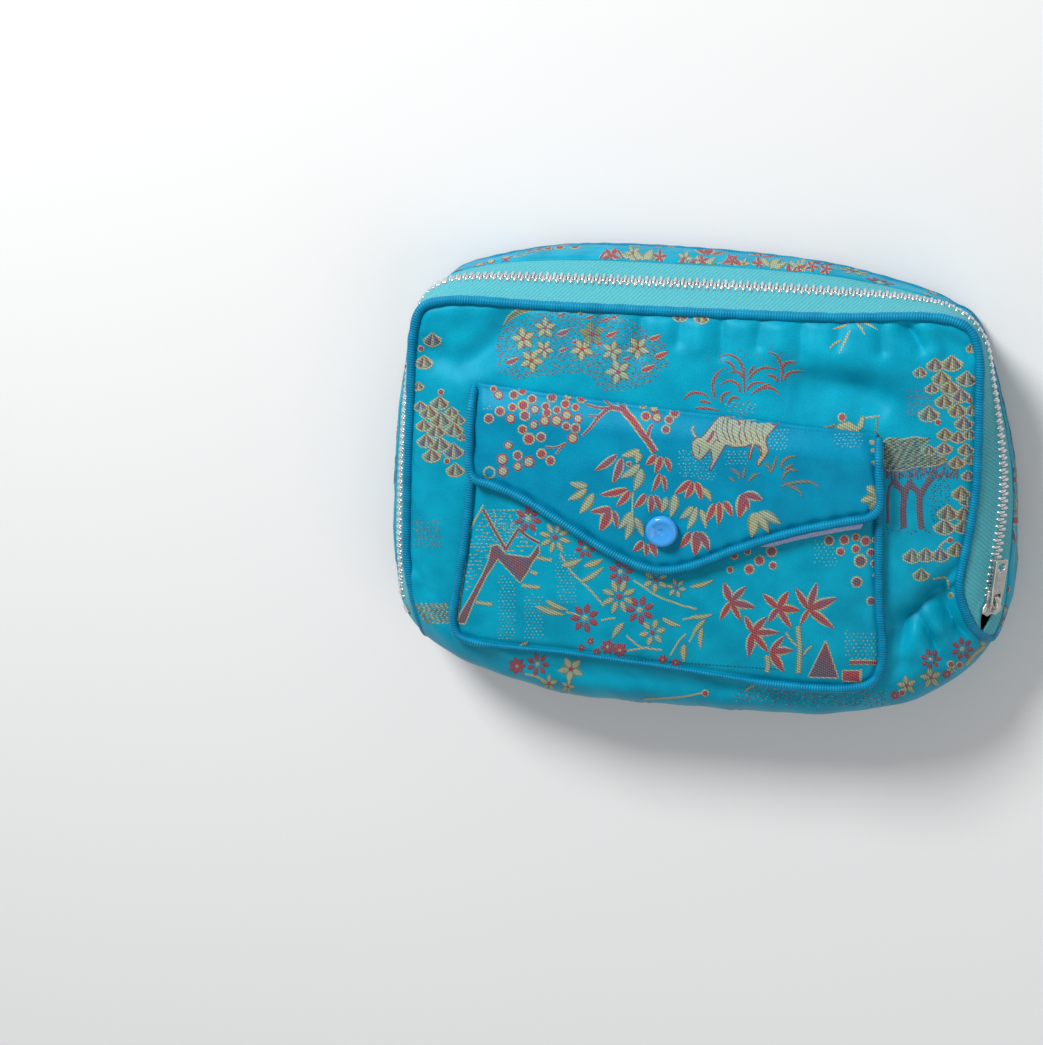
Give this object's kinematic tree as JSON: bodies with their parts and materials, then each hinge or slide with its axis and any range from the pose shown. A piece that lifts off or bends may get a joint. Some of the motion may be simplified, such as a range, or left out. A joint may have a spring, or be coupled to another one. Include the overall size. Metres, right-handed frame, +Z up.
{
  "type": "brocade zip purse",
  "caption": "Padded brocade zip pouch with piped edges, a zipped gusset with a slider and pull tab, and a front pocket under a wave-edged flap with a press stud.",
  "frame": {"origin": "On the surface that the purse lies on, under the middle of the back.", "axes": "X to the right along the length, Y towards the zipped top edge, Z up out of the front panel with the pocket."},
  "size_m": [0.1922, 0.1395, 0.0466],
  "materials": {
    "brocade": "satin jacquard brocade with woven red and gold motifs",
    "flap_brocade": "satin jacquard brocade, darker in the light on the flap",
    "piping": "corded piping with fine cross ribs",
    "zip_tape": "woven polyester tape",
    "zip_metal": "bright pressed teeth",
    "nickel": "nickel-plated casting, slightly dull",
    "snap_blue": "glossy moulded cap",
    "lining": "plain taffeta"
  },
  "bodies": {
    "purse": {"body_shell": "brocade", "gusset_strip": "brocade", "zip_tape_front": "zip_tape", "zip_tape_back": "zip_tape", "zip_teeth_front": "zip_metal", "zip_teeth_back": "zip_metal", "zip_bottom_stop": "nickel", "zip_slider": "nickel", "edge_piping": "piping", "pocket_panel": "brocade", "pocket_piping": "piping", "pocket_flap": "flap_brocade", "flap_lining": "lining", "flap_piping": "piping", "snap_cap": "snap_blue", "snap_stud": "nickel"},
    "pull_tab": {"zip_pull_tab": "nickel"}
  },
  "joints": [
    {"name": "pull_tab_hinge", "type": "hinge", "parent": "purse", "child": "pull_tab", "pos_m": [0.08977, -0.02569, 0.0295], "axis": [0.7525, -0.0481, -0.6568], "range_deg": [0, 150]}
  ]
}
